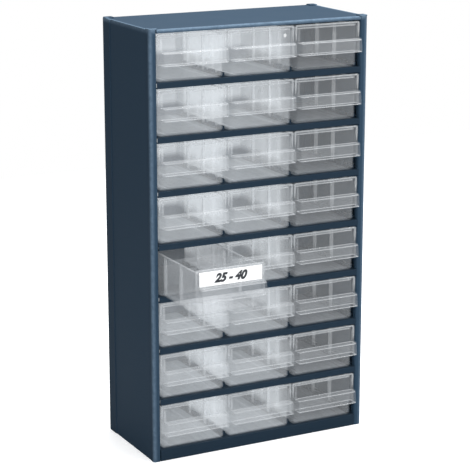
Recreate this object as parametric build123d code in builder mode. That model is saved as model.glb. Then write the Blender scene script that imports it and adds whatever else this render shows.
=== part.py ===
"""Parts organizer: a folded sheet steel cabinet with a grid of clear plastic drawers.

Millimetres. X runs to the right along the front, Y runs from the front to the back and Z is up.
The origin is the centre of the footprint of the steel shell, on the surface it stands on.
"""

import os

from build123d import *

# Driving dimensions
WIDTH = 306.0  # over the rolled front edges of the two sides
DEPTH = 138.0  # of the steel shell, without the drawer handles
HEIGHT = 550.4  # over the corner caps
SHEET = 0.8  # steel thickness
COLUMNS = 3
ROWS = 8
COLUMN_PITCH = 95.0
ROW_PITCH = 67.1
PLINTH = 15.0  # height of the front of the base, level with the floor of the lowest row
LIP = 7.3  # height of the folded front edge of a shelf
BEAD = 10.0  # width of the rolled front edge of a side
CAP = 1.4  # height of the corner caps above the top
PULL = 100.0  # how far the open drawer stands out
OPEN_ROW = 5  # rows count from the top, columns from the left
OPEN_COLUMN = 1

# Shell
FRONT = -DEPTH / 2
BACK = DEPTH / 2
TOP = HEIGHT - CAP
PROUD = SHEET  # the rolled edges and the rear flanges stand this far outside the side faces
SIDE = WIDTH / 2 - PROUD  # outer face of a side panel
INSIDE = SIDE - SHEET
MOUTH = WIDTH / 2 - BEAD  # half of the clear width between the rolled edges
BEAD_BACK = FRONT + BEAD
BEAD_RADIUS = 3.0
SEAM = 0.1  # gap left between two sheets that are welded together
BACK_INNER = BACK - SHEET
SHEET_FRONT = BEAD_BACK + SEAM  # the wide part of a shelf lies between these two
SHEET_BACK = BACK_INNER - 2 * SHEET
REAR_FLANGE = 20.0  # depth of the back panel's outer flanges
REAR_RETURN = 11.0  # width of the flange along the rear edge of a side
HEM = 6.0  # how far a folded lip returns under itself
SKIRT = 8.0  # height of a shelf's welded edges
FOLD = 1.2  # outer radius of a small fold
TOP_FOLD = 3.0  # outer radius of the fold along the front of the top
HOLE_RADIUS = 2.5  # wall screws
HOLE_SPACING_X = 220.0
HOLE_SPACING_Z = 470.0
HOLE_LOWEST = 40.0
CAP_SIZE = BEAD + 1.5
CAP_RADIUS = 1.8

# Guide lugs on the shelves, in lines beside the drawers
LUG_LENGTH = 14.0
LUG_WIDTH = 6.0
LUG_HEIGHT = 4.5
LUG_PITCH = 25.0
LUGS = 5

# Drawer, placed with the shelf's top at zero and its own middle at X zero
WALL = 1.5
RUNNER = 1.6  # height of the two ribs that the drawer slides on
RUNNER_WIDTH = 2.4
RUNNER_SPACING = 60.0
SLIDE_GAP = 0.1
TUB_WIDTH = 86.0
TUB_FRONT = FRONT + 3.0
TUB_BACK = BACK - 1.5
TUB_TOP = 53.6
TUB_CORNER = 3.0
TUB_EDGE = 3.4
PLATE_WIDTH = COLUMN_PITCH - 1.6
PLATE_TOP = 58.2
PLATE_THICK = 2.5
PLATE_CORNER = 1.6
HANDLE_WIDTH = 87.0
HANDLE_REACH = 12.0  # in front of the shell
HANDLE_LOW = 20.6
HANDLE_HIGH = 37.6
HANDLE_LEAN = 1.8
HANDLE_WALL = 2.0
HANDLE_ROUND = 3.0
EAR_TOP = 62.5  # the ears behind the sides meet the lip above when the drawer is pulled out
EAR_FRONT = 54.0
EAR_BACK = 64.0
EAR_SLOPE = 3.0
RIB_PLACES = (50.0, 94.0)  # dividers, behind the front of the tub
RIB_WIDTH = 1.0
RIB_DEEP = 1.2
RIB_TOP = 50.0
SLOT = 1.6  # gap between the two ribs that hold a divider
DIVIDER = 1.3
DIVIDER_TOP = 47.0
CARD_WIDTH = 85.0
CARD_HEIGHT = 18.0
CARD_THICK = 0.3
CLIP_WIDTH = 1.4
CLIP_HEIGHT = 15.0
CLIP_DEEP = 1.3
CLIP_LIP = 0.5
CLIP_HOLD = 1.6  # how far a clip reaches over the end of the card

TUB_DEPTH = TUB_BACK - TUB_FRONT
TUB_MIDDLE = (TUB_BACK + TUB_FRONT) / 2
TUB_BOTTOM = RUNNER
TUB_FLOOR = TUB_BOTTOM + WALL
PLATE_FACE = TUB_FRONT - PLATE_THICK


def save(builder, name):
    """Labels a finished piece and writes it under its own name."""
    builder.part.label = name
    export_step(builder.part, f"parts/{name}.step")


def floor_height(row):
    """Height of the steel that a row of drawers stands on, counting rows from the top."""
    return PLINTH + ROW_PITCH * (ROWS - row)


def column_middle(column):
    return COLUMN_PITCH * (column - (COLUMNS + 1) / 2)


def shelf_outline(front):
    """The plan of a shelf or of the bottom: narrow between the rolled edges, wide behind them."""
    with Locations((0, (SHEET_FRONT + SHEET_BACK) / 2)):
        Rectangle(2 * (INSIDE - SEAM), SHEET_BACK - SHEET_FRONT)
    with Locations((0, (front + BEAD_BACK + BEAD) / 2)):
        Rectangle(2 * (MOUTH - SEAM), BEAD_BACK + BEAD - front)


def folded_front(front, top, height):
    """A lip folded down along the front and hemmed inwards, on the YZ plane."""
    with Locations((front + SHEET / 2, top - height / 2)):
        Rectangle(SHEET, height)
    with Locations((front + HEM / 2, top - height + SHEET / 2)):
        Rectangle(HEM, SHEET)


def lug_centres():
    """Plan positions of the guide lugs: a line on each side of every column."""
    return GridLocations(COLUMN_PITCH, LUG_PITCH, COLUMNS + 1, LUGS)


def make_side(hand):
    """A side panel: a web with a rolled front edge and a flange along the back."""
    with BuildPart() as side:
        with BuildSketch(Plane.XY):
            with Locations((hand * (SIDE - SHEET / 2), (BEAD_BACK + BACK_INNER) / 2 - 1.0)):
                Rectangle(SHEET, BACK_INNER - BEAD_BACK + 2.0)
            with Locations((hand * (SIDE - REAR_RETURN / 2), BACK_INNER - SHEET / 2)):
                Rectangle(REAR_RETURN, SHEET)
        extrude(amount=TOP - SHEET)
        with BuildSketch(Plane.XY):
            with Locations((hand * (MOUTH + BEAD / 2), FRONT + BEAD / 2)):
                RectangleRounded(BEAD, BEAD, BEAD_RADIUS)
        extrude(amount=TOP)
        with BuildSketch(Plane.XY):
            with Locations((hand * (MOUTH + BEAD / 2), FRONT + BEAD / 2)):
                RectangleRounded(BEAD - 2 * SHEET, BEAD - 2 * SHEET, BEAD_RADIUS - SHEET)
        extrude(amount=TOP, mode=Mode.SUBTRACT)
    return side


def make_shelf(front, height):
    """A shelf: a sheet with a folded front lip, welded edges and rows of guide lugs."""
    with BuildPart() as shelf:
        with BuildSketch(Plane.XY.offset(height - SHEET)):
            shelf_outline(front)
        extrude(amount=SHEET)
        with BuildSketch(Plane.YZ):
            folded_front(front, height, LIP)
        extrude(amount=MOUTH - SEAM, both=True)
        fillet(shelf.edges().filter_by(Axis.X).group_by(Axis.Y)[0].sort_by(Axis.Z)[-1], FOLD / 2)
        with BuildSketch(Plane.XZ.offset(-SHEET_FRONT)):
            with Locations((0, height - SKIRT / 2)):
                with GridLocations(2 * (INSIDE - SEAM) - SHEET, 0, 2, 1):
                    Rectangle(SHEET, SKIRT)
        extrude(amount=SHEET_FRONT - SHEET_BACK)
        with BuildSketch(Plane.XZ.offset(-SHEET_BACK)):
            with Locations((0, height - SKIRT / 2)):
                Rectangle(2 * (INSIDE - SEAM), SKIRT)
        extrude(amount=SHEET)
        add_lugs(height)
    return shelf


def add_lugs(height):
    """Adds the guide lugs, pressed up from the sheet, to the part being built."""
    with BuildPart(mode=Mode.PRIVATE) as lug:
        with BuildSketch(Plane.XY):
            SlotOverall(LUG_LENGTH, LUG_WIDTH, rotation=90)
        extrude(amount=LUG_HEIGHT)
        fillet(lug.faces().sort_by(Axis.Z)[-1].edges(), FOLD)
    with Locations(Pos(0, 0, height)):
        with lug_centres():
            add(lug.part)


os.makedirs("parts", exist_ok=True)

# The two sides
for hand, name in ((-1, "left_side_panel"), (1, "right_side_panel")):
    save(make_side(hand), name)

# The top, with its front edge folded down between the rolled edges
with BuildPart() as top_panel:
    with BuildSketch(Plane.XY.offset(TOP - SHEET)):
        with Locations((0, (SHEET_FRONT + BACK_INNER) / 2)):
            Rectangle(2 * SIDE, BACK_INNER - SHEET_FRONT)
        with Locations((0, (FRONT + BEAD_BACK + BEAD) / 2)):
            Rectangle(2 * (MOUTH - SEAM), BEAD_BACK + BEAD - FRONT)
    extrude(amount=SHEET)
    with BuildSketch(Plane.YZ):
        with Locations((FRONT + BEAD / 2, (TOP + floor_height(0) - LIP) / 2)):
            Rectangle(BEAD, TOP - floor_height(0) + LIP)
    extrude(amount=MOUTH - SEAM, both=True)
    fillet(top_panel.edges().filter_by(Axis.X).group_by(Axis.Y)[0].sort_by(Axis.Z)[-1], TOP_FOLD)
    with BuildSketch(Plane.YZ):
        with Locations((FRONT + BEAD / 2, (TOP + floor_height(0) - LIP) / 2)):
            Rectangle(BEAD - 2 * SHEET, TOP - floor_height(0) + LIP - 2 * SHEET)
        fillet(vertices().group_by(Axis.X)[0].sort_by(Axis.Y)[-1], TOP_FOLD - SHEET)
    extrude(amount=MOUTH - SEAM, both=True, mode=Mode.SUBTRACT)
save(top_panel, "top_panel")

# The bottom, with its front edge folded up into the plinth and hemmed inwards
with BuildPart() as bottom_panel:
    with BuildSketch(Plane.XY):
        shelf_outline(FRONT)
    extrude(amount=SHEET)
    with BuildSketch(Plane.YZ):
        with Locations((FRONT + SHEET / 2, PLINTH / 2)):
            Rectangle(SHEET, PLINTH)
    extrude(amount=MOUTH - SEAM, both=True)
    fillet(bottom_panel.edges().filter_by(Axis.X).group_by(Axis.Y)[0], FOLD / 2)
save(bottom_panel, "bottom_panel")

# The back, with flanges outside the sides and four holes for wall screws
with BuildPart() as back_panel:
    with BuildSketch(Plane.XY):
        with Locations((0, BACK - SHEET / 2)):
            Rectangle(WIDTH, SHEET)
        with Locations((-WIDTH / 2 + SHEET / 2, BACK - REAR_FLANGE / 2)):
            Rectangle(SHEET, REAR_FLANGE)
        with Locations((WIDTH / 2 - SHEET / 2, BACK - REAR_FLANGE / 2)):
            Rectangle(SHEET, REAR_FLANGE)
    extrude(amount=TOP)
    fillet(back_panel.edges().filter_by(Axis.Z).group_by(Axis.Y)[-1], FOLD / 2)
    with BuildSketch(Plane.XZ.offset(-BACK)):
        with Locations((0, HOLE_LOWEST + HOLE_SPACING_Z / 2)):
            with GridLocations(HOLE_SPACING_X, HOLE_SPACING_Z, 2, 2):
                Circle(HOLE_RADIUS)
    extrude(amount=SHEET, mode=Mode.SUBTRACT)
save(back_panel, "back_panel")

# Caps on the four top corners, which locate a second cabinet stacked on this one
with BuildPart() as corner_caps:
    with BuildSketch(Plane.XY.offset(TOP)):
        with GridLocations(WIDTH - CAP_SIZE, DEPTH - CAP_SIZE, 2, 2):
            RectangleRounded(CAP_SIZE, CAP_SIZE, CAP_RADIUS)
    extrude(amount=CAP)
    fillet(corner_caps.faces().group_by(Axis.Z)[-1].edges(), CAP_RADIUS / 3)
save(corner_caps, "corner_caps")

# One shelf under each row; the lowest stands behind the plinth
for row in range(1, ROWS + 1):
    shelf_front = FRONT + SHEET + SEAM if row == ROWS else FRONT
    save(make_shelf(shelf_front, floor_height(row)), f"shelf_{row}")

# One drawer, made once and copied into every place
with BuildPart() as drawer:
    with BuildSketch(Plane.XY.offset(TUB_BOTTOM)):
        with Locations((0, TUB_MIDDLE)):
            RectangleRounded(TUB_WIDTH, TUB_DEPTH, TUB_CORNER)
    extrude(amount=TUB_TOP - TUB_BOTTOM)
    fillet(drawer.faces().sort_by(Axis.Z)[0].edges(), TUB_EDGE - FOLD)
    offset(amount=-WALL, openings=drawer.faces().sort_by(Axis.Z)[-1])

    # Front plate, wider than the tub
    with BuildSketch(Plane.XZ.offset(-TUB_FRONT)):
        with Locations((0, (HANDLE_LOW + PLATE_TOP) / 2)):
            RectangleRounded(PLATE_WIDTH, PLATE_TOP - HANDLE_LOW, PLATE_CORNER)
    extrude(amount=PLATE_THICK)

    # Handle: a hood across the front, open underneath for the fingers
    with BuildSketch(Plane.YZ):
        with BuildLine():
            Polyline(
                (PLATE_FACE, HANDLE_HIGH),
                (FRONT - HANDLE_REACH + HANDLE_LEAN, HANDLE_HIGH),
                (FRONT - HANDLE_REACH, HANDLE_LOW),
                (PLATE_FACE, HANDLE_LOW),
                close=True,
            )
        make_face()
        fillet(vertices().group_by(Axis.Y)[-1].sort_by(Axis.X)[0], HANDLE_ROUND)
    extrude(amount=HANDLE_WIDTH / 2, both=True)
    with BuildSketch(Plane.YZ):
        with BuildLine():
            Polyline(
                (PLATE_FACE, HANDLE_HIGH - HANDLE_WALL),
                (FRONT - HANDLE_REACH + HANDLE_LEAN + HANDLE_WALL, HANDLE_HIGH - HANDLE_WALL),
                (FRONT - HANDLE_REACH + HANDLE_WALL, HANDLE_LOW),
                (PLATE_FACE, HANDLE_LOW),
                close=True,
            )
        make_face()
        fillet(vertices().group_by(Axis.Y)[-1].sort_by(Axis.X)[0], HANDLE_ROUND - HANDLE_WALL)
    extrude(amount=HANDLE_WIDTH / 2 - HANDLE_WALL, both=True, mode=Mode.SUBTRACT)

    # Runners under the floor
    with BuildSketch(Plane.XY.offset(SLIDE_GAP)):
        with Locations((0, TUB_MIDDLE)):
            with GridLocations(RUNNER_SPACING, 0, 2, 1):
                SlotOverall(TUB_DEPTH - 4 * TUB_CORNER, RUNNER_WIDTH, rotation=90)
    extrude(amount=RUNNER)

    # Ears at the back of the side walls, which stop the drawer at the lip above
    for side in (-1, 1):
        with BuildSketch(Plane.YZ.offset(side * (TUB_WIDTH - WALL) / 2)):
            with BuildLine():
                Polyline(
                    (EAR_FRONT - EAR_SLOPE, TUB_TOP),
                    (EAR_FRONT, EAR_TOP),
                    (EAR_BACK, EAR_TOP),
                    (EAR_BACK, TUB_TOP),
                    close=True,
                )
            make_face()
        extrude(amount=WALL / 2, both=True)

    # Ribs inside the side walls, in pairs that hold a divider between them
    with BuildSketch(Plane.XY.offset(TUB_FLOOR - WALL / 2)):
        for place in RIB_PLACES:
            with Locations((0, TUB_FRONT + place)):
                with GridLocations(TUB_WIDTH - 2 * WALL - RIB_DEEP, SLOT + RIB_WIDTH, 2, 2):
                    Rectangle(RIB_DEEP, RIB_WIDTH)
    extrude(amount=RIB_TOP - TUB_FLOOR + WALL / 2)

    # Clips that hold a label card on the plate
    for side in (-1, 1):
        with BuildSketch(Plane.XZ.offset(-PLATE_FACE)):
            with Locations((side * (CARD_WIDTH + CLIP_WIDTH + 2 * SEAM) / 2, HANDLE_HIGH + CLIP_HEIGHT / 2)):
                Rectangle(CLIP_WIDTH, CLIP_HEIGHT)
        extrude(amount=CLIP_DEEP)
        with BuildSketch(Plane.XZ.offset(-PLATE_FACE + CLIP_DEEP - CLIP_LIP)):
            with Locations((side * (CARD_WIDTH - CLIP_HOLD) / 2, HANDLE_HIGH + CLIP_HEIGHT / 2)):
                Rectangle(CLIP_HOLD + 2 * SEAM, CLIP_HEIGHT)
        extrude(amount=CLIP_LIP)

for row in range(1, ROWS + 1):
    for column in range(1, COLUMNS + 1):
        pulled = PULL if (row, column) == (OPEN_ROW, OPEN_COLUMN) else 0.0
        with BuildPart() as placed:
            with Locations((column_middle(column), -pulled, floor_height(row))):
                add(drawer.part)
        save(placed, f"drawer_{row}_{column}")

# What the open drawer holds of its own: two dividers in the ribs and a card behind the clips
open_middle = column_middle(OPEN_COLUMN)
open_floor = floor_height(OPEN_ROW)
for number, place in enumerate(RIB_PLACES, start=1):
    with BuildPart() as divider:
        with BuildSketch(Plane.XZ.offset(-(TUB_FRONT + place - PULL + DIVIDER / 2))):
            with Locations((open_middle, open_floor + (TUB_FLOOR + SEAM + DIVIDER_TOP) / 2)):
                Rectangle(TUB_WIDTH - 2 * WALL - 2 * SEAM, DIVIDER_TOP - TUB_FLOOR - SEAM)
            chamfer(vertices().group_by(Axis.Y)[0], TUB_CORNER)
            fillet(vertices().group_by(Axis.Y)[-1], TUB_CORNER)
        extrude(amount=DIVIDER)
    save(divider, f"divider_{number}")

with BuildPart() as label_card:
    with BuildSketch(Plane.XZ.offset(-PLATE_FACE + PULL + SEAM)):
        with Locations((open_middle, open_floor + HANDLE_HIGH + SEAM + CARD_HEIGHT / 2)):
            Rectangle(CARD_WIDTH, CARD_HEIGHT)
    extrude(amount=CARD_THICK)
save(label_card, "label_card")
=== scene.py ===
# %% [markdown]
# # A steel cabinet of clear drawers
#
# The object is a parts organizer: a folded steel shell with eight rows of three moulded
# drawers, one of them pulled out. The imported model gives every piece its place, so the script
# starts by loading it. Everything added later takes its position from that frame.

# %% Load the frame
import math

import bpy
import numpy as np
from mathutils import Matrix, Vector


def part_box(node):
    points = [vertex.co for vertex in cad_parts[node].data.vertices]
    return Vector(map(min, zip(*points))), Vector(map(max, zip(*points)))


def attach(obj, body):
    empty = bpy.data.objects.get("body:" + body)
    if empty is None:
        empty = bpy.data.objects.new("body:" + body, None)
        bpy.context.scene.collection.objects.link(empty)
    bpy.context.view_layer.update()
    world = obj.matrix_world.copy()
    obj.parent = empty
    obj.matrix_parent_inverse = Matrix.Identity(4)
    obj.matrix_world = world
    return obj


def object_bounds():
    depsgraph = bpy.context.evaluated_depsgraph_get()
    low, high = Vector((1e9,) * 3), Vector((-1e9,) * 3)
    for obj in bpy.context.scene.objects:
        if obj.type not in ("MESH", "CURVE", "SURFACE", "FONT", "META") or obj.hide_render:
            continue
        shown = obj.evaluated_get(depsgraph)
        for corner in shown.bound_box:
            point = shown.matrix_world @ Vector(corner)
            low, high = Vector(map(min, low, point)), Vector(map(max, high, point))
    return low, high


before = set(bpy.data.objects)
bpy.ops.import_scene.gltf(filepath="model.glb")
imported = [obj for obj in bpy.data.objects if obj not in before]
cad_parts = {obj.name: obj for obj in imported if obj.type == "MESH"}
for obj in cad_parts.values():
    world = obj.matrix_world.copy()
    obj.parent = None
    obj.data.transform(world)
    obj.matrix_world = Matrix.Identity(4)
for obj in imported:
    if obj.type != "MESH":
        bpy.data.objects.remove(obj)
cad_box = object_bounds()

MM = 0.001
scene = bpy.context.scene
lowest, highest = (np.array(corner) for corner in cad_box)
print("cabinet with its open drawer, in mm:", np.round((highest - lowest) / MM, 1))

# %% [markdown]
# ## The rows, the columns and the open drawer
#
# The drawers are named by row and column, counted from the top left. The shell's own boxes
# give the width, the height and the front face. Two neighbouring drawers give the pitch of the
# rows and of the columns. The drawer that stands out furthest is the open one, and it is the
# one that carries a label card.

# %% Read the layout from the frame
drawers = sorted(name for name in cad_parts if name.startswith("drawer_"))
shelves = sorted(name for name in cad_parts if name.startswith("shelf_"))
dividers = sorted(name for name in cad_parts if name.startswith("divider_"))
shell = ["left_side_panel", "right_side_panel", "top_panel", "bottom_panel", "back_panel", "corner_caps"]
open_drawer = min(drawers, key=lambda name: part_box(name)[0][1])
front_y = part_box("left_side_panel")[0][1]
half_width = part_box("right_side_panel")[1][0]
top_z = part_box("top_panel")[1][2]
lowest_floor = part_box("drawer_8_1")[0][2]
row_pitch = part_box("drawer_7_1")[0][2] - lowest_floor
column_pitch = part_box("drawer_1_2")[0][0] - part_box("drawer_1_1")[0][0]
print(len(drawers), "drawers,", len(shelves), "shelves; open:", open_drawer)

# %% [markdown]
# ## Camera
#
# A camera at the front left, a little above the middle, shows the front, the left side and a
# sliver of the top. It stands far off with a long lens, which keeps the uprights nearly
# parallel. Shifting the lens would make them exactly parallel, but other views carry this
# camera round the object, which would then leave the frame. Two angles and a distance place it.

# %% Place the camera
AZIMUTH = math.radians(-27.63)  # to the left of straight ahead
ELEVATION = math.radians(14.24)
DISTANCE = 2.265
LENS = 133.1  # focal length in mm
SENSOR = 36.0  # width in mm
AIM_HEIGHT = 0.2644
AIM_ASIDE = -0.001

back = np.array([
    math.sin(AZIMUTH) * math.cos(ELEVATION),
    -math.cos(AZIMUTH) * math.cos(ELEVATION),
    math.sin(ELEVATION),
])
right = np.array([math.cos(AZIMUTH), math.sin(AZIMUTH), 0.0])
up = np.cross(back, right)
eye = np.array([0.0, 0.0, AIM_HEIGHT]) + DISTANCE * back + AIM_ASIDE * right

camera_data = bpy.data.cameras.new("camera")
camera_data.lens = LENS
camera_data.sensor_width = SENSOR
camera = bpy.data.objects.new("camera", camera_data)
scene.collection.objects.link(camera)
turn = np.eye(4)
turn[:3, 0] = right
turn[:3, 1] = up
turn[:3, 2] = back
turn[:3, 3] = eye
camera.matrix_world = Matrix(turn.tolist())
scene.camera = camera
print("camera at", np.round(eye, 3))

# %% [markdown]
# ## Light
#
# A dark cabinet needs one broad light above it, so that the top reads lighter than the sides,
# and a tall soft light at the front left that draws a bright line down the rolled front edges.
# A weaker tall light at the right keeps the handles readable. One ring of light would be
# simpler, but it would make all sides alike.

# %% Lamps
def area_light(name, place, target, size, power):
    """A rectangular lamp of the given width and height, turned so that it faces the target."""
    data = bpy.data.lights.new(name, "AREA")
    data.shape = "RECTANGLE"
    data.size, data.size_y = size
    data.energy = power
    lamp = bpy.data.objects.new(name, data)
    scene.collection.objects.link(lamp)
    away = np.array(place, float) - np.array(target, float)
    away /= np.linalg.norm(away)
    across = np.cross([0.0, 0.0, 1.0], away)
    across /= np.linalg.norm(across)
    matrix = np.eye(4)
    matrix[:3, 0] = across
    matrix[:3, 1] = np.cross(away, across)
    matrix[:3, 2] = away
    matrix[:3, 3] = place
    lamp.matrix_world = Matrix(matrix.tolist())


UPPER_PART = (0.0, 0.0, 0.4)
MIDDLE = (0.0, 0.0, 0.3)
area_light("top_light", (0.25, 0.05, 2.2), UPPER_PART, size=(1.5, 1.2), power=76.0)
area_light("front_light", (-1.0, -2.7, 1.1), MIDDLE, size=(0.6, 1.8), power=62.0)
area_light("right_light", (2.0, -2.2, 1.2), MIDDLE, size=(0.8, 1.6), power=30.0)

# %% [markdown]
# ## Surroundings
#
# The surroundings fill the shadows. A plain white world would light the dark paint too much.
# So the world looks white to the camera, and gives the object a weaker, slightly blue light.
# The Light Path node tells the two apart. Many clear walls stand one behind another here, so a
# ray may pass through more of them than usual before it ends.

# %% Surroundings
WHITE = (1.0, 1.0, 1.0, 1.0)
FILL_COLOUR = (0.93, 0.97, 1.0, 1.0)
FILL = 0.30
CLEAR_LAYERS = 64
world = bpy.data.worlds.new("studio")
scene.world = world
world.use_nodes = True
tree = world.node_tree
tree.nodes.clear()
seen = tree.nodes.new("ShaderNodeBackground")
seen.inputs["Color"].default_value = WHITE
seen.inputs["Strength"].default_value = 1.0
fill = tree.nodes.new("ShaderNodeBackground")
fill.inputs["Color"].default_value = FILL_COLOUR
fill.inputs["Strength"].default_value = FILL
path = tree.nodes.new("ShaderNodeLightPath")
choose = tree.nodes.new("ShaderNodeMixShader")
out = tree.nodes.new("ShaderNodeOutputWorld")
tree.links.new(path.outputs["Is Camera Ray"], choose.inputs[0])
tree.links.new(fill.outputs[0], choose.inputs[1])
tree.links.new(seen.outputs[0], choose.inputs[2])
tree.links.new(choose.outputs[0], out.inputs["Surface"])
scene.view_settings.view_transform = "Standard"
scene.cycles.transparent_max_bounces = CLEAR_LAYERS
print("world gives", FILL, "of the light it shows")

# %% [markdown]
# ## Making meshes from arrays
#
# Every new bar here is a surface on a grid: one parameter runs round a small profile and the
# other along a path. The first helper joins the neighbours in such a grid into quads, and
# closes it in either direction where the shape closes on itself. A curve with a bevel would be
# quicker to draw, but with arrays every point is known.

# %% Helpers for meshes
def grid_faces(rows, columns, close_rows, close_columns):
    """Quads of a grid of points; a closed direction joins its last line to its first."""
    r = np.arange(rows if close_rows else rows - 1)
    c = np.arange(columns if close_columns else columns - 1)
    r, c = (a.ravel() for a in np.meshgrid(r, c, indexing="ij"))
    r2 = (r + 1) % rows
    c2 = (c + 1) % columns
    return np.stack([r * columns + c, r * columns + c2, r2 * columns + c2, r2 * columns + c], axis=1)


END_SHARE = 0.3  # size of the two end rings of an open bar, as a share of its radius


def round_bar(path, radius, sides=10, closed=False, reference=(0.0, 0.0, 1.0)):
    """A round bar along a path of points, none of it along the reference direction.

    Each path point gets a ring at the given radius in the plane across the path, with its
    points at even angles. On an open bar the first and last rings are smaller, and each is
    closed by one flat face.
    """
    path = np.asarray(path, float)
    ahead = np.roll(path, -1, axis=0) - np.roll(path, 1, axis=0)
    if not closed:
        ahead[0] = path[1] - path[0]
        ahead[-1] = path[-1] - path[-2]
    ahead /= np.linalg.norm(ahead, axis=1, keepdims=True)
    side = np.cross(ahead, reference)
    side /= np.linalg.norm(side, axis=1, keepdims=True)
    rise = np.cross(side, ahead)
    angle = np.linspace(0.0, 2.0 * math.pi, sides, endpoint=False)
    reach = np.full(len(path), radius)
    if not closed:
        reach[[0, -1]] = radius * END_SHARE
    ring = np.cos(angle)[None, :, None] * side[:, None, :]
    ring = ring + np.sin(angle)[None, :, None] * rise[:, None, :]
    points = path[:, None, :] + reach[:, None, None] * ring
    faces = grid_faces(len(path), sides, closed, True)
    if closed:
        return points.reshape(-1, 3), faces.tolist()
    count = len(path) * sides
    ends = [list(range(sides - 1, -1, -1)), list(range(count - sides, count))]
    return points.reshape(-1, 3), faces.tolist() + ends


def rounded_rectangle(width, depth, radius, per_corner=6):
    """Points round a rectangle with quarter-circle corners, centred on the origin."""
    angle = np.linspace(0.0, math.pi / 2, per_corner)
    quarter = math.pi / 2
    corners = [(1, 1, 0.0), (-1, 1, quarter), (-1, -1, 2 * quarter), (1, -1, 3 * quarter)]
    points = []
    for sx, sy, start in corners:
        points.append(np.stack([
            sx * (width / 2 - radius) + radius * np.cos(angle + start),
            sy * (depth / 2 - radius) + radius * np.sin(angle + start),
        ], axis=1))
    return np.concatenate(points)


# %% [markdown]
# ## Shader groups
#
# Paint and plastic share a few effects: fine lumps, broad clouds, and dust that settles where
# a surface faces up. The plastics share hairline scratches. Each effect is a node group with
# named sockets, so that each material sets its own size and strength. Image textures would do
# the same, but they need files and a flat map of each piece.

# %% Helpers for nodes
def add_node(tree, kind, settings=None, **inputs):
    """A node of one kind, with properties from settings and input values by socket name."""
    node = tree.nodes.new(kind)
    for key, value in (settings or {}).items():
        setattr(node, key, value)
    for key, value in inputs.items():
        node.inputs[key.replace("_", " ")].default_value = value
    return node


def start_group(name, inputs, outputs):
    """A shader node group with number inputs, their defaults, and number outputs."""
    group = bpy.data.node_groups.new(name, "ShaderNodeTree")
    for socket, default in inputs.items():
        made = group.interface.new_socket(socket, in_out="INPUT", socket_type="NodeSocketFloat")
        made.default_value = default
    for socket in outputs:
        group.interface.new_socket(socket, in_out="OUTPUT", socket_type="NodeSocketFloat")
    return group, group.nodes.new("NodeGroupInput"), group.nodes.new("NodeGroupOutput")


# %% The shared effects
SETTLES_FROM = 0.6  # upward part of a face's direction at which dust starts to stay
SCRATCH_STRETCH = (1.0, 1.0, 0.12)
SCRATCH_TURN = (0.5, 0.3, 0.2)
SCRATCHED_PART = (0.52, 0.7)  # noise values between which the scratches fade in


def make_texture_group():
    """Fine lumps and broad clouds: two noises on Object coordinates, each from 0 to 1."""
    defaults = {"Fine Scale": 900.0, "Cloud Scale": 9.0}
    group, source, sink = start_group("surface_texture", defaults, ["Fine", "Cloud"])
    where = add_node(group, "ShaderNodeTexCoord")
    for socket, scale in (("Fine", "Fine Scale"), ("Cloud", "Cloud Scale")):
        noise = add_node(group, "ShaderNodeTexNoise", Detail=4.0, Roughness=0.55)
        group.links.new(where.outputs["Object"], noise.inputs["Vector"])
        group.links.new(source.outputs[scale], noise.inputs["Scale"])
        group.links.new(noise.outputs["Fac"], sink.inputs[socket])
    return group


def make_dust_group():
    """Dust: how far the surface faces up, cut off below a slope and broken by a noise."""
    group, source, sink = start_group("dust", {"Amount": 0.3, "Patch Scale": 30.0}, ["Mask"])
    shape = add_node(group, "ShaderNodeNewGeometry")
    split = add_node(group, "ShaderNodeSeparateXYZ")
    group.links.new(shape.outputs["Normal"], split.inputs[0])
    facing = add_node(group, "ShaderNodeMapRange", From_Min=SETTLES_FROM, From_Max=1.0)
    group.links.new(split.outputs["Z"], facing.inputs["Value"])
    where = add_node(group, "ShaderNodeTexCoord")
    patch = add_node(group, "ShaderNodeTexNoise", Detail=5.0, Roughness=0.6)
    group.links.new(where.outputs["Object"], patch.inputs["Vector"])
    group.links.new(source.outputs["Patch Scale"], patch.inputs["Scale"])
    both = add_node(group, "ShaderNodeMath", {"operation": "MULTIPLY"})
    group.links.new(facing.outputs["Result"], both.inputs[0])
    group.links.new(patch.outputs["Fac"], both.inputs[1])
    amount = add_node(group, "ShaderNodeMath", {"operation": "MULTIPLY"})
    group.links.new(both.outputs[0], amount.inputs[0])
    group.links.new(source.outputs["Amount"], amount.inputs[1])
    group.links.new(amount.outputs[0], sink.inputs["Mask"])
    return group


def make_scratch_group():
    """Hairline scratches: the thin dark seams of a stretched cell pattern, faded by a noise."""
    group, source, sink = start_group("scratches", {"Scale": 60.0, "Width": 0.02}, ["Mask"])
    where = add_node(group, "ShaderNodeTexCoord")
    stretch = add_node(group, "ShaderNodeMapping", Scale=SCRATCH_STRETCH, Rotation=SCRATCH_TURN)
    group.links.new(where.outputs["Object"], stretch.inputs["Vector"])
    cells = add_node(group, "ShaderNodeTexVoronoi", {"feature": "DISTANCE_TO_EDGE"})
    group.links.new(stretch.outputs["Vector"], cells.inputs["Vector"])
    group.links.new(source.outputs["Scale"], cells.inputs["Scale"])
    thin = add_node(group, "ShaderNodeMapRange", To_Min=1.0, To_Max=0.0)
    group.links.new(cells.outputs["Distance"], thin.inputs["Value"])
    group.links.new(source.outputs["Width"], thin.inputs["From Max"])
    fade = add_node(group, "ShaderNodeTexNoise", Scale=14.0, Detail=2.0)
    group.links.new(where.outputs["Object"], fade.inputs["Vector"])
    least, most = SCRATCHED_PART
    part = add_node(group, "ShaderNodeMapRange", From_Min=least, From_Max=most)
    group.links.new(fade.outputs["Fac"], part.inputs["Value"])
    both = add_node(group, "ShaderNodeMath", {"operation": "MULTIPLY"})
    group.links.new(thin.outputs["Result"], both.inputs[0])
    group.links.new(part.outputs["Result"], both.inputs[1])
    group.links.new(both.outputs[0], sink.inputs["Mask"])
    return group


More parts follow.
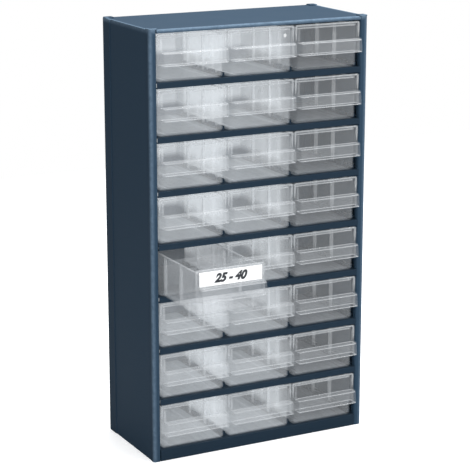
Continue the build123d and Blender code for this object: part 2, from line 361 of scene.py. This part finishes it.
surface_texture = make_texture_group()
dust = make_dust_group()
scratches = make_scratch_group()
print("groups:", [g.name for g in bpy.data.node_groups])

# %% Helpers for materials
def start_material(name):
    """A material with one Principled shader; returns it with its tree and shader."""
    material = bpy.data.materials.new(name)
    material.use_nodes = True
    tree = material.node_tree
    return material, tree, tree.nodes["Principled BSDF"]


def use_group(tree, group, **values):
    """A copy of a shared effect inside a material."""
    node = tree.nodes.new("ShaderNodeGroup")
    node.node_tree = group
    for key, value in values.items():
        node.inputs[key.replace("_", " ")].default_value = value
    return node


def blend_colours(tree, factor, first, second):
    """A mix of two colours, or of one colour and another node's colour, by a factor socket."""
    mix = add_node(tree, "ShaderNodeMix", {"data_type": "RGBA"})
    tree.links.new(factor, mix.inputs["Factor"])
    for socket, value in (("A", first), ("B", second)):
        slot = next(s for s in mix.inputs if s.name == socket and s.type == "RGBA")
        if hasattr(value, "links"):
            tree.links.new(value, slot)
        else:
            slot.default_value = (*value, 1.0)
    return next(s for s in mix.outputs if s.type == "RGBA")


def spread(tree, value, low, high):
    """A value from 0 to 1 moved to the range from low to high."""
    node = add_node(tree, "ShaderNodeMapRange", To_Min=low, To_Max=high)
    tree.links.new(value, node.inputs["Value"])
    return node.outputs["Result"]


def add_bump(tree, shader, height, strength, distance):
    """A bump from one height socket; distance is the height that a value of 1 stands for."""
    bump = add_node(tree, "ShaderNodeBump", Strength=strength, Distance=distance)
    tree.links.new(height, bump.inputs["Height"])
    tree.links.new(bump.outputs["Normal"], shader.inputs["Normal"])


# %% [markdown]
# ## Paint
#
# The steel is sprayed with a dark blue-grey powder coat. Close up such a coat has the small
# waves called orange peel, it is a little uneven in tone, and dust lies on the faces that look
# up. A painted highlight lightens it along three sets of edges, where the lamps draw a bright
# line on the real coat: the uprights of the front, the sides of the top, and the front of the
# top. Painting a mask by hand would do for one piece. A formula on Object coordinates serves all
# of them.

# %% The painted edge highlight group
HIGHLIGHT_SPREAD = 5.5 * MM
HIGHLIGHT_BROKEN = (0.35, 0.60)  # noise values between which the painted highlight goes from least to full
HIGHLIGHT_LEAST = 0.55


def make_edge_highlight_group():
    """Painted edge highlight: 1 on the outer edges of a box and 0 one spread away, broken by a noise.

    The nearness to a side, to the front and to the top each run from 0 to 1. Their products in
    pairs mark the edges, and the mask is the largest product times the noise.
    """
    defaults = {"Half Width": 0.153, "Front": -0.069, "Top": 0.549, "Spread": HIGHLIGHT_SPREAD}
    group, source, sink = start_group("painted_edge_highlight", defaults, ["Mask"])
    where = add_node(group, "ShaderNodeTexCoord")
    split = add_node(group, "ShaderNodeSeparateXYZ")
    group.links.new(where.outputs["Object"], split.inputs[0])
    aside = add_node(group, "ShaderNodeMath", {"operation": "ABSOLUTE"})
    group.links.new(split.outputs["X"], aside.inputs[0])

    def nearness(value, target):
        """1 at the target and 0 at one spread away from it."""
        gap = add_node(group, "ShaderNodeMath", {"operation": "SUBTRACT"})
        group.links.new(value, gap.inputs[0])
        group.links.new(target, gap.inputs[1])
        size = add_node(group, "ShaderNodeMath", {"operation": "ABSOLUTE"})
        group.links.new(gap.outputs[0], size.inputs[0])
        near = add_node(group, "ShaderNodeMapRange", To_Min=1.0, To_Max=0.0)
        group.links.new(size.outputs[0], near.inputs["Value"])
        group.links.new(source.outputs["Spread"], near.inputs["From Max"])
        return near.outputs["Result"]

    def product(first, second):
        """One value times another."""
        node = add_node(group, "ShaderNodeMath", {"operation": "MULTIPLY"})
        group.links.new(first, node.inputs[0])
        group.links.new(second, node.inputs[1])
        return node.outputs[0]

    at_side = nearness(aside.outputs[0], source.outputs["Half Width"])
    at_front = nearness(split.outputs["Y"], source.outputs["Front"])
    at_top = nearness(split.outputs["Z"], source.outputs["Top"])
    front_corner = product(at_side, at_front)
    top_corner = product(at_side, at_top)
    top_front = product(at_front, at_top)
    most = front_corner
    for other in (top_corner, top_front):
        node = add_node(group, "ShaderNodeMath", {"operation": "MAXIMUM"})
        group.links.new(most, node.inputs[0])
        group.links.new(other, node.inputs[1])
        most = node.outputs[0]
    broken = add_node(group, "ShaderNodeTexNoise", Scale=160.0, Detail=6.0, Roughness=0.7)
    group.links.new(where.outputs["Object"], broken.inputs["Vector"])
    low, high = HIGHLIGHT_BROKEN
    cut = add_node(group, "ShaderNodeMapRange", From_Min=low, From_Max=high, To_Min=HIGHLIGHT_LEAST)
    group.links.new(broken.outputs["Fac"], cut.inputs["Value"])
    group.links.new(product(most, cut.outputs["Result"]), sink.inputs["Mask"])
    return group


# A painted highlight along the rolled front edges and the edges of the top, where the lamps draw a bright
# line.
painted_edge_highlight = make_edge_highlight_group()
print("rubbed within", round(HIGHLIGHT_SPREAD / MM, 1), "mm of an edge")

# %% [markdown]
# ### Painted sheen on the shelves
#
# Each drawer slides on the flat of a shelf, and a painted sheen lightens the paint there in
# streaks from front to back, standing in for the pale plastic reflected in the paint. The folded
# lip and the strips between the columns aren't touched. All shelves are alike, so one mask
# serves them all: it measures how far a point is from the nearest shelf level and from the
# nearest column's middle, whichever row and column they belong to.

# %% The painted shelf sheen group
ON_SHEET = (0.006, 0.012)  # shares of the row pitch from a sheet's level
UNDER_DRAWER = (0.43, 0.45)  # shares of the column pitch from a column's middle
SHEEN_START = (4.0 * MM, 12.0 * MM)  # behind the front edge
STREAK_STRETCH = (1.0, 0.08, 1.0)
STREAK_BROKEN = (0.2, 0.6)  # noise values between which a streak goes from least to full
STREAK_LEAST = 0.6


def make_shelf_sheen_group():
    """Painted sheen where the drawers slide: 1 on the level of the sheet itself, behind its front edge.

    The height and the sideways place are each divided by a pitch, and the distance to the
    nearest whole number is small on a sheet and under a drawer. A noise stretched from front
    to back breaks the mask into streaks.
    """
    defaults = {"Floor": 0.015, "Pitch": 0.0671, "Face": -0.069, "Column Pitch": 0.095}
    group, source, sink = start_group("scuffs", defaults, ["Mask"])
    where = add_node(group, "ShaderNodeTexCoord")
    split = add_node(group, "ShaderNodeSeparateXYZ")
    group.links.new(where.outputs["Object"], split.inputs[0])
    above = add_node(group, "ShaderNodeMath", {"operation": "SUBTRACT"})
    group.links.new(split.outputs["Z"], above.inputs[0])
    group.links.new(source.outputs["Floor"], above.inputs[1])

    def near_multiple(value, pitch, shares):
        """1 within the first share of a multiple of the pitch, and 0 beyond the second."""
        turns = add_node(group, "ShaderNodeMath", {"operation": "DIVIDE"})
        group.links.new(value, turns.inputs[0])
        group.links.new(pitch, turns.inputs[1])
        nearest = add_node(group, "ShaderNodeMath", {"operation": "ROUND"})
        group.links.new(turns.outputs[0], nearest.inputs[0])
        off = add_node(group, "ShaderNodeMath", {"operation": "SUBTRACT"})
        group.links.new(turns.outputs[0], off.inputs[0])
        group.links.new(nearest.outputs[0], off.inputs[1])
        size = add_node(group, "ShaderNodeMath", {"operation": "ABSOLUTE"})
        group.links.new(off.outputs[0], size.inputs[0])
        near = add_node(group, "ShaderNodeMapRange", To_Min=1.0, To_Max=0.0)
        near.inputs["From Min"].default_value = shares[0]
        near.inputs["From Max"].default_value = shares[1]
        group.links.new(size.outputs[0], near.inputs["Value"])
        return near.outputs["Result"]

    flat = near_multiple(above.outputs[0], source.outputs["Pitch"], ON_SHEET)
    under = near_multiple(split.outputs["X"], source.outputs["Column Pitch"], UNDER_DRAWER)
    behind = add_node(group, "ShaderNodeMath", {"operation": "SUBTRACT"})
    group.links.new(split.outputs["Y"], behind.inputs[0])
    group.links.new(source.outputs["Face"], behind.inputs[1])
    none, full = SHEEN_START
    inner = add_node(group, "ShaderNodeMapRange", From_Min=none, From_Max=full)
    group.links.new(behind.outputs[0], inner.inputs["Value"])
    stretch = add_node(group, "ShaderNodeMapping", Scale=STREAK_STRETCH)
    group.links.new(where.outputs["Object"], stretch.inputs["Vector"])
    streaks = add_node(group, "ShaderNodeTexNoise", Scale=240.0, Detail=4.0, Roughness=0.6)
    group.links.new(stretch.outputs["Vector"], streaks.inputs["Vector"])
    low, high = STREAK_BROKEN
    broken = add_node(group, "ShaderNodeMapRange", From_Min=low, From_Max=high, To_Min=STREAK_LEAST)
    group.links.new(streaks.outputs["Fac"], broken.inputs["Value"])
    mask = flat
    for factor in (under, inner.outputs["Result"], broken.outputs["Result"]):
        product = add_node(group, "ShaderNodeMath", {"operation": "MULTIPLY"})
        group.links.new(mask, product.inputs[0])
        group.links.new(factor, product.inputs[1])
        mask = product.outputs[0]
    group.links.new(mask, sink.inputs["Mask"])
    return group


# The painted sheen on the flats of the shelves, standing in for a reflection in the paint.
scuffs = make_shelf_sheen_group()
print("scuffs repeat every", np.round([row_pitch / MM, column_pitch / MM], 1), "mm up and across")

# %% [markdown]
# ### Four depths of one paint
# All the steel has one paint, but it isn't lit equally everywhere, so it gets four copies with
# painted light and shade. The plinth and the shelves' lips stand low or between pale drawers and
# get painted shade, and the long side panels get a little painted light. Each gets the same
# recipe with its own depth. The shelves also get the painted sheen. The coat is nearly matt, so
# that the top doesn't turn white under the broad lamp.

# %% The painted steel
PAINT = (0.022, 0.044, 0.072)
PAINT_CLOUD = (0.026, 0.050, 0.080)
# colour of the painted highlight on the front and top edges
PAINT_EDGE_HIGHLIGHT = (0.13, 0.19, 0.26)
SHEEN_COLOUR = (0.30, 0.33, 0.36)
# colour of the painted sheen on the shelves where the drawers slide
DUST_COLOUR = (0.42, 0.43, 0.43)
DUSTINESS = 0.02
PAINT_ROUGHNESS = (0.44, 0.58)
PAINT_SPECULAR = 0.07
PEEL_STRENGTH = 0.25
PEEL_HEIGHT = 0.12 * MM


def make_paint(name, depth, with_sheen=False):
    """Powder-coated steel; depth is its painted light and shade, and with_sheen adds a painted sheen."""
    material, tree, shader = start_material(name)
    texture = use_group(tree, surface_texture, Fine_Scale=620.0, Cloud_Scale=7.0)
    painted_light_tone = tuple(c * depth for c in PAINT)
    cloud = tuple(c * depth for c in PAINT_CLOUD)
    colour = blend_colours(tree, texture.outputs["Cloud"], painted_light_tone, cloud)
    lit_edges = use_group(tree, painted_edge_highlight, Half_Width=half_width, Front=front_y, Top=top_z)
    # painted highlight on the front uprights and the edges of the top
    colour = blend_colours(tree, lit_edges.outputs["Mask"], colour, PAINT_EDGE_HIGHLIGHT)
    if with_sheen:
        # painted sheen on the flats of the shelves
        levels = {"Floor": lowest_floor, "Pitch": row_pitch}
        sheen_and_scratches = use_group(tree, scuffs, **levels, Face=front_y, Column_Pitch=column_pitch)
        colour = blend_colours(tree, sheen_and_scratches.outputs["Mask"], colour, SHEEN_COLOUR)
    settled = use_group(tree, dust, Amount=DUSTINESS, Patch_Scale=26.0)
    colour = blend_colours(tree, settled.outputs["Mask"], colour, DUST_COLOUR)
    tree.links.new(colour, shader.inputs["Base Color"])
    tree.links.new(spread(tree, texture.outputs["Cloud"], *PAINT_ROUGHNESS), shader.inputs["Roughness"])
    shader.inputs["Specular IOR Level"].default_value = PAINT_SPECULAR
    add_bump(tree, shader, texture.outputs["Fine"], PEEL_STRENGTH, PEEL_HEIGHT)
    return material


# Lit and shaded copies of one paint: depth below 1 is painted shade, above 1 painted light.
paint_shell = make_paint("paint_shell", depth=0.95)
paint_side_lit = make_paint("paint_side_lit", depth=1.08)
paint_plinth_shaded = make_paint("paint_plinth_shaded", depth=0.55)
paint_shelf = make_paint("paint_shelf", depth=0.60, with_sheen=True)


def dress(node, material):
    """Gives a node of the frame one material."""
    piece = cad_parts[node]
    piece.data.materials.clear()
    piece.data.materials.append(material)


for name in shell:
    dress(name, paint_side_lit if "side" in name else paint_shell)
dress("bottom_panel", paint_plinth_shaded)
for name in shelves:
    dress(name, paint_shelf)
print("painted", len(shell) + len(shelves), "steel pieces")

# %% [markdown]
# ## Clear plastic
#
# The drawers are thin moulded polystyrene. It is clear but a little milky: a front plate barely
# dims what is behind it, while several walls in a row turn into a pale haze. Glass with
# refraction would be one way, but it renders slowly and its many thin walls turn noisy. Here each
# surface is a gloss shader that is partly see-through, so that the layers add up. Where a wall
# is seen edge on, its opacity goes over to a value of its own: higher than square on for a clear
# wall, and lower for the haziest ones. Clouds, fine scratches and dust break it up.
#
# The haze is strongest on the walls inside the cabinet. The front plates stay clear, and so does
# the lowest part of each row, where the shelf shows through. It depends on a wall's place in the
# object as it is modelled, so a drawer takes its haze along when it moves.

# %% The haze group
HAZE_FACE = -66.0 * MM  # the fronts of the tubs of the closed drawers
HAZE_RISE = (3.0 * MM, 40.0 * MM)  # behind that face, from no haze to all of it
CLEAR_FOOT = (10.0 * MM, 22.0 * MM)  # above a row's floor, from the low share to all of it


def make_haze_group():
    """Opacity of one plastic surface by its place in the cabinet.

    Out in front of the shell it is the front value. Behind the front wall it rises to the inside
    value, and near the floor of each row it falls back, as the height above the floor, which is
    the height folded into one row's pitch, goes to zero.
    """
    defaults = {"Front": 0.08, "Inside": 0.4, "Face": HAZE_FACE}
    defaults.update({"Floor": 0.0151, "Pitch": 0.0671, "Low Share": 0.3})
    group, source, sink = start_group("haze", defaults, ["Opacity"])
    where = add_node(group, "ShaderNodeTexCoord")
    split = add_node(group, "ShaderNodeSeparateXYZ")
    group.links.new(where.outputs["Object"], split.inputs[0])
    behind = add_node(group, "ShaderNodeMath", {"operation": "SUBTRACT"})
    group.links.new(split.outputs["Y"], behind.inputs[0])
    group.links.new(source.outputs["Face"], behind.inputs[1])
    smooth = {"interpolation_type": "SMOOTHSTEP"}
    none, full = HAZE_RISE
    inside = add_node(group, "ShaderNodeMapRange", smooth, From_Min=none, From_Max=full)
    group.links.new(behind.outputs[0], inside.inputs["Value"])
    above = add_node(group, "ShaderNodeMath", {"operation": "SUBTRACT"})
    group.links.new(split.outputs["Z"], above.inputs[0])
    group.links.new(source.outputs["Floor"], above.inputs[1])
    height = add_node(group, "ShaderNodeMath", {"operation": "FLOORED_MODULO"})
    group.links.new(above.outputs[0], height.inputs[0])
    group.links.new(source.outputs["Pitch"], height.inputs[1])
    none, full = CLEAR_FOOT
    clear = add_node(group, "ShaderNodeMapRange", smooth, From_Min=none, From_Max=full, To_Max=1.0)
    group.links.new(height.outputs[0], clear.inputs["Value"])
    group.links.new(source.outputs["Low Share"], clear.inputs["To Min"])
    share = add_node(group, "ShaderNodeMath", {"operation": "MULTIPLY"})
    group.links.new(inside.outputs["Result"], share.inputs[0])
    group.links.new(clear.outputs["Result"], share.inputs[1])
    opacity = add_node(group, "ShaderNodeMapRange")
    group.links.new(share.outputs[0], opacity.inputs["Value"])
    group.links.new(source.outputs["Front"], opacity.inputs["To Min"])
    group.links.new(source.outputs["Inside"], opacity.inputs["To Max"])
    group.links.new(opacity.outputs["Result"], sink.inputs["Opacity"])
    return group


haze = make_haze_group()
print("haze rises to", round(HAZE_RISE[1] / MM, 1), "mm behind the front plates")

# %% [markdown]
# ### Five clear plastics
# The drawers are all of one plastic, but it comes in lit and shaded copies. The drawers of the
# first two columns, whose walls are lit through their neighbours, are the milkiest and carry the
# most painted glow. Those of the right-hand column, shaded by the steel side, are a clearer and
# darker copy, and the open drawer and its dividers are in between. The rims and bars, where light
# collects, have two plastics of their own that are equally dense all over, the denser one in the
# right-hand column; they are painted highlights. The collected light is a weak emission, a
# painted glow: a real clear wall is lit from all around, more than its few layers of gloss
# shader would show.

# %% The clear plastic
PLASTIC = (0.71, 0.73, 0.75)
PLASTIC_COOL = (0.64, 0.67, 0.70)
PAINTED_GLOW_COLOUR = (0.93, 0.97, 1.0, 1.0)  # colour of a painted glow, standing in for the light that reaches the clear walls
LOW_SHARE = 0.12  # of the haze, near the floor of each row
EDGE_ON = 0.22  # blend of the Layer Weight node
CLOUDED = (0.8, 1.2)  # factors on the opacity
SCRATCH_OPACITY = 0.04
PLASTIC_ROUGHNESS = (0.10, 0.24)
PLASTIC_IOR = 1.55
RIPPLE_STRENGTH = 0.04
RIPPLE_HEIGHT = 0.04 * MM


def make_plastic(name, painted_light_tone, front, inside, edge, painted_glow):
    """Clear plastic, whose opacity depends on its place and on the angle it is seen from.

    tone scales the colour. front and inside are the opacity seen square on, at the front and
    painted_light_tone scales the colour, as painted light and shade. front and inside are the
    opacity seen square on, at the front and inside the cabinet, and edge is the opacity seen edge
    on. painted_glow is the strength of a painted glow, which stands in for light from all around.
    """
    material, tree, shader = start_material(name)
    texture = use_group(tree, surface_texture, Fine_Scale=340.0, Cloud_Scale=38.0)
    marks = use_group(tree, scratches, Scale=160.0, Width=0.01)
    settled = use_group(tree, dust, Amount=DUSTINESS, Patch_Scale=60.0)
    shade = tuple(c * painted_light_tone for c in PLASTIC_COOL)
    light = tuple(c * painted_light_tone for c in PLASTIC)
    colour = blend_colours(tree, texture.outputs["Cloud"], shade, light)
    tree.links.new(colour, shader.inputs["Base Color"])
    levels = {"Floor": lowest_floor, "Pitch": row_pitch}
    milk = use_group(tree, haze, Front=front, Inside=inside, Low_Share=LOW_SHARE, **levels)
    facing = add_node(tree, "ShaderNodeLayerWeight", Blend=EDGE_ON)
    rim = add_node(tree, "ShaderNodeMapRange", To_Max=edge)
    tree.links.new(facing.outputs["Facing"], rim.inputs["Value"])
    tree.links.new(milk.outputs["Opacity"], rim.inputs["To Min"])
    cloudy = add_node(tree, "ShaderNodeMath", {"operation": "MULTIPLY"})
    tree.links.new(rim.outputs["Result"], cloudy.inputs[0])
    tree.links.new(spread(tree, texture.outputs["Cloud"], *CLOUDED), cloudy.inputs[1])
    sheen_and_scratches = add_node(tree, "ShaderNodeMath", {"operation": "MULTIPLY_ADD"})
    tree.links.new(marks.outputs["Mask"], sheen_and_scratches.inputs[0])
    sheen_and_scratches.inputs[1].default_value = SCRATCH_OPACITY
    tree.links.new(cloudy.outputs[0], sheen_and_scratches.inputs[2])
    covered = add_node(tree, "ShaderNodeMath", {"operation": "ADD", "use_clamp": True})
    tree.links.new(sheen_and_scratches.outputs[0], covered.inputs[0])
    tree.links.new(settled.outputs["Mask"], covered.inputs[1])
    tree.links.new(covered.outputs[0], shader.inputs["Alpha"])
    tree.links.new(spread(tree, texture.outputs["Cloud"], *PLASTIC_ROUGHNESS), shader.inputs["Roughness"])
    shader.inputs["IOR"].default_value = PLASTIC_IOR
    shader.inputs["Emission Color"].default_value = PAINTED_GLOW_COLOUR
    shader.inputs["Emission Strength"].default_value = painted_glow
    add_bump(tree, shader, texture.outputs["Fine"], RIPPLE_STRENGTH, RIPPLE_HEIGHT)
    return material


# Lit and shaded copies of one plastic: the first two columns get the painted glow, the right-hand column
# is the shaded copy.
plastic = make_plastic(
    "clear_plastic", painted_light_tone=1.0, front=0.05, inside=0.47, edge=0.18, painted_glow=0.36)
plastic_right = make_plastic(
    "clear_plastic_shaded", painted_light_tone=0.82, front=0.075, inside=0.08, edge=0.22, painted_glow=0.05)
plastic_open = make_plastic(
    "clear_plastic_open", painted_light_tone=0.80, front=0.08, inside=0.13, edge=0.26, painted_glow=0.06)
plastic_rim = make_plastic(
    "clear_plastic_rim", painted_light_tone=0.75, front=0.26, inside=0.26, edge=0.36, painted_glow=0.10)
plastic_rim_right = make_plastic(
    "clear_plastic_rim_right_highlight", painted_light_tone=0.72, front=0.38, inside=0.38, edge=0.50, painted_glow=0.10)


def plastic_of(name):
    """The plastic of a drawer: its own for the open one and for the right-hand column's."""
    if name == open_drawer:
        return plastic_open
    return plastic_right if name.endswith("_3") else plastic


for name in drawers:
    dress(name, plastic_of(name))
for name in dividers:
    dress(name, plastic_open)
print("clear pieces:", len(drawers) + len(dividers))

# %% [markdown]
# ## Light edges of the drawers
#
# A moulded tray ends in a slightly thicker rim, and its front plate, its handle and the ribs
# that hold dividers have rounded edges. Clear plastic gathers light in such edges, so they are
# the brightest lines of each drawer. Refraction would draw them by itself, but the layered
# plastic has none, so each line is a thin round bar: one round the top of the tub, one over
# the top of the front plate, one round each edge of the handle's hood, and two pairs of
# upright ribs on each side wall. A drawer's bars are one piece that rides with the drawer.

# %% Measures of the light edges
WALL = 1.5 * MM
TUB_SIZE = (86.0 * MM, 133.5 * MM)
TUB_CORNER = 3.0 * MM
TUB_BEHIND = 15.0 * MM  # from the front of the handle to the front of the tub
TUB_ABOVE = 53.5 * MM  # from the runners to the top of the side walls
RIM_RADIUS = 1.05 * MM
PLATE_BEHIND = 13.75 * MM  # from the front of the handle
PLATE_RADIUS = 1.3 * MM
PLATE_TOP = 58.2 * MM  # from the runners
PLATE_LOW = 38.5 * MM  # from the runners to the lower ends of its edge bar
PLATE_BEND = 1.4 * MM
HOOD_WIDTH = 87.0 * MM
HOOD_RADIUS = 0.6 * MM
HOOD_CORNER = 1.2 * MM
HOOD_BEHIND = 13.4 * MM  # from the front of the handle to the backs of its bars
HOOD_BARS = ((21.0 * MM, 12.7 * MM), (35.6 * MM, 11.2 * MM))  # height above the runners, and reach
RIB_PLACES = (50.0 * MM, 94.0 * MM)  # behind the front of the tub
RIB_STEP = 2.3 * MM  # from the middle of a pair to each rib
RIB_RADIUS = 1.5 * MM
RIB_INSET = 0.6 * RIB_RADIUS  # from the wall's inner face to the rib's middle
RIB_FOOT = 3.5 * MM
RIB_TOP = 51.0 * MM
RIB_POINTS = 4
THIN_SIDES = 8  # faces round the thin bars
print("tub", np.round(np.array(TUB_SIZE) / MM, 1), "mm, rim", round(2 * RIM_RADIUS / MM, 1), "mm thick")

# %% Helpers for pieces
def join_shapes(shapes):
    """One list of points and one of faces out of several shapes."""
    points, faces, offset = [], [], 0
    for p, f in shapes:
        points.append(p)
        faces += [[i + offset for i in face] for face in f]
        offset += len(p)
    return np.concatenate(points), faces


def add_mesh(name, points, faces, body, material):
    """A smooth mesh piece with faces of any size, riding on a body."""
    mesh = bpy.data.meshes.new(name)
    mesh.from_pydata(points.tolist(), [], faces)
    mesh.polygons.foreach_set("use_smooth", np.full(len(mesh.polygons), True))
    mesh.materials.append(material)
    mesh.update()
    piece = bpy.data.objects.new(name, mesh)
    scene.collection.objects.link(piece)
    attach(piece, body)
    return piece


def plate_edge(low, high):
    """The outline of a front plate from one lower corner over the top to the other, rounded."""
    reach = (high[0] - low[0]) / 2 - PLATE_RADIUS
    top = PLATE_TOP - PLATE_RADIUS
    bend = np.linspace(0.0, math.pi / 2, 5)
    upright = [PLATE_LOW, (PLATE_LOW + top) / 2]
    x = np.concatenate([[reach, reach], reach - PLATE_BEND + PLATE_BEND * np.cos(bend)])
    z = np.concatenate([upright, top - PLATE_BEND + PLATE_BEND * np.sin(bend)])
    half = np.column_stack([x, z])
    return np.concatenate([half * (1, 1), half[::-1] * (-1, 1)])


# %% Build the light edges
def make_rim(name):
    """The light edges of one drawer: tub rim, plate edge, two handle bars and eight ribs."""
    low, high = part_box(name)
    middle = (low[0] + high[0]) / 2
    tub_front = low[1] + TUB_BEHIND
    outline = rounded_rectangle(TUB_SIZE[0] - WALL, TUB_SIZE[1] - WALL, TUB_CORNER - WALL / 2)
    ring = np.column_stack([outline, np.full(len(outline), low[2] + TUB_ABOVE)])
    ring[:, 0] += middle
    ring[:, 1] += tub_front + TUB_SIZE[1] / 2
    shapes = [round_bar(ring, RIM_RADIUS, closed=True)]
    edge = plate_edge(low, high)
    plate_y = np.full(len(edge), low[1] + PLATE_BEHIND)
    bar = np.column_stack([edge[:, 0] + middle, plate_y, edge[:, 1] + low[2]])
    shapes.append(round_bar(bar, PLATE_RADIUS, reference=(0.0, 1.0, 0.0)))
    for level, reach in HOOD_BARS:
        outline = rounded_rectangle(HOOD_WIDTH - 2 * HOOD_RADIUS, reach, HOOD_CORNER)
        ring = np.column_stack([outline, np.full(len(outline), low[2] + level)])
        ring[:, 0] += middle
        ring[:, 1] += low[1] + HOOD_BEHIND - reach / 2
        shapes.append(round_bar(ring, HOOD_RADIUS, sides=THIN_SIDES, closed=True))
    heights = low[2] + np.linspace(RIB_FOOT, RIB_TOP, RIB_POINTS)
    for place in RIB_PLACES:
        for step in (-RIB_STEP, RIB_STEP):
            for side in (-1, 1):
                x = middle + side * (TUB_SIZE[0] / 2 - WALL - RIB_INSET)
                foot = np.array([x, tub_front + place + step])
                rib = np.column_stack([np.tile(foot, (RIB_POINTS, 1)), heights])
                shapes.append(round_bar(rib, RIB_RADIUS, sides=THIN_SIDES, reference=(0.0, 1.0, 0.0)))
    points, faces = join_shapes(shapes)
    # The rim plastics are painted highlights, denser in the right-hand column.
    material = plastic_rim_right if name.endswith("_3") else plastic_rim
    return add_mesh(name.replace("drawer", "rim"), points, faces, name, material)


rims = [make_rim(name) for name in drawers]
print(len(rims), "rims of", len(rims[0].data.polygons), "faces")

# %% [markdown]
# ## Card and print
#
# The open drawer has a white card behind the two clips of its front plate. Its print is a pair
# of plain sizes. An image of the print could be laid on the card, but a text curve stays sharp
# at any size: it is turned into a mesh, leaned like a marker's italics, and laid just in front
# of the card.

# %% Card and ink
CARD = (0.86, 0.87, 0.87)
CARD_BRIGHT = (0.93, 0.93, 0.92)
INK = (0.010, 0.012, 0.018)
INK_THIN = (0.035, 0.038, 0.045)

card, tree, shader = start_material("card")
texture = use_group(tree, surface_texture, Fine_Scale=1500.0, Cloud_Scale=60.0)
colour = blend_colours(tree, texture.outputs["Cloud"], CARD, CARD_BRIGHT)
tree.links.new(colour, shader.inputs["Base Color"])
tree.links.new(spread(tree, texture.outputs["Cloud"], 0.55, 0.75), shader.inputs["Roughness"])
add_bump(tree, shader, texture.outputs["Fine"], 0.2, 0.08 * MM)
dress("label_card", card)

ink, tree, shader = start_material("ink")
texture = use_group(tree, surface_texture, Fine_Scale=2400.0, Cloud_Scale=300.0)
colour = blend_colours(tree, texture.outputs["Cloud"], INK, INK_THIN)
tree.links.new(colour, shader.inputs["Base Color"])
tree.links.new(spread(tree, texture.outputs["Fine"], 0.4, 0.7), shader.inputs["Roughness"])
add_bump(tree, shader, texture.outputs["Fine"], 0.15, 0.05 * MM)
print("materials so far:", len(bpy.data.materials))

# %% Print on the card
PRINT_SIZE = 0.80  # of the card's height
PRINT_LEAN = 0.35
PRINT_WEIGHT = 0.8 * MM  # how far the strokes are thickened
PRINT_THICKNESS = 0.04 * MM
PRINT_GAP = 0.08 * MM  # in front of the card
card_low, card_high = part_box("label_card")
text = bpy.data.curves.new("print", "FONT")
text.body = "25 - 40"
text.size = PRINT_SIZE * (card_high[2] - card_low[2])
text.shear = PRINT_LEAN
text.offset = PRINT_WEIGHT
text.extrude = PRINT_THICKNESS
text.align_x = "CENTER"
text.align_y = "CENTER"
holder = bpy.data.objects.new("print", text)
flat = bpy.data.meshes.new_from_object(holder)
spots = np.empty(len(flat.vertices) * 3)
flat.vertices.foreach_get("co", spots)
spots = spots.reshape(-1, 3)
spots[:, :2] -= (spots[:, :2].min(axis=0) + spots[:, :2].max(axis=0)) / 2
centre = [(low + high) / 2 for low, high in zip(card_low, card_high)]
across = spots[:, 0] + centre[0]
ahead = card_low[1] - PRINT_GAP - spots[:, 2]
stood = np.column_stack([across, ahead, spots[:, 1] + centre[2]])
flat.vertices.foreach_set("co", stood.ravel())
flat.materials.clear()
flat.materials.append(ink)
flat.update()
bpy.data.objects.remove(holder)
print_piece = bpy.data.objects.new("card_print", flat)
scene.collection.objects.link(print_piece)
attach(print_piece, open_drawer)
card_size = np.array(card_high) - card_low
print("print of", len(flat.polygons), "faces on a card", np.round(card_size / MM, 1))

# %% [markdown]
# ## Floor
#
# A plain pale floor, far larger than the object, catches the soft contact shadow. A floor that
# is pale for every ray would throw light up into the plinth and the drawers. So it is pale and
# faintly glowing only for the camera, and darker and without glow for all other rays.

# %% Floor
FLOOR_PALE = (0.90, 0.90, 0.90)
FLOOR_PALEST = (0.94, 0.94, 0.94)
FLOOR_FOR_LIGHT = (0.30, 0.31, 0.32)
FLOOR_GLOW = 0.30
FLOOR_REACH = 1.6

floor_material, tree, shader = start_material("floor")
texture = use_group(tree, surface_texture, Fine_Scale=200.0, Cloud_Scale=2.0)
colour = blend_colours(tree, texture.outputs["Cloud"], FLOOR_PALE, FLOOR_PALEST)
seen_by = add_node(tree, "ShaderNodeLightPath")
colour = blend_colours(tree, seen_by.outputs["Is Camera Ray"], FLOOR_FOR_LIGHT, colour)
tree.links.new(colour, shader.inputs["Base Color"])
glow = spread(tree, seen_by.outputs["Is Camera Ray"], 0.0, FLOOR_GLOW)
tree.links.new(glow, shader.inputs["Emission Strength"])
shader.inputs["Roughness"].default_value = 0.85
shader.inputs["Specular IOR Level"].default_value = 0.1
shader.inputs["Emission Color"].default_value = WHITE
edge = np.linspace(-FLOOR_REACH, FLOOR_REACH, 3)
gx, gy = np.meshgrid(edge, edge, indexing="ij")
floor_points = np.stack([gx, gy, np.zeros_like(gx)], axis=-1).reshape(-1, 3)
floor_mesh = bpy.data.meshes.new("floor")
floor_mesh.from_pydata(floor_points.tolist(), [], grid_faces(3, 3, False, False)[:, ::-1].tolist())
floor_mesh.materials.append(floor_material)
floor = bpy.data.objects.new("floor", floor_mesh)
scene.collection.objects.link(floor)
print("floor", 2 * FLOOR_REACH, "m each way")
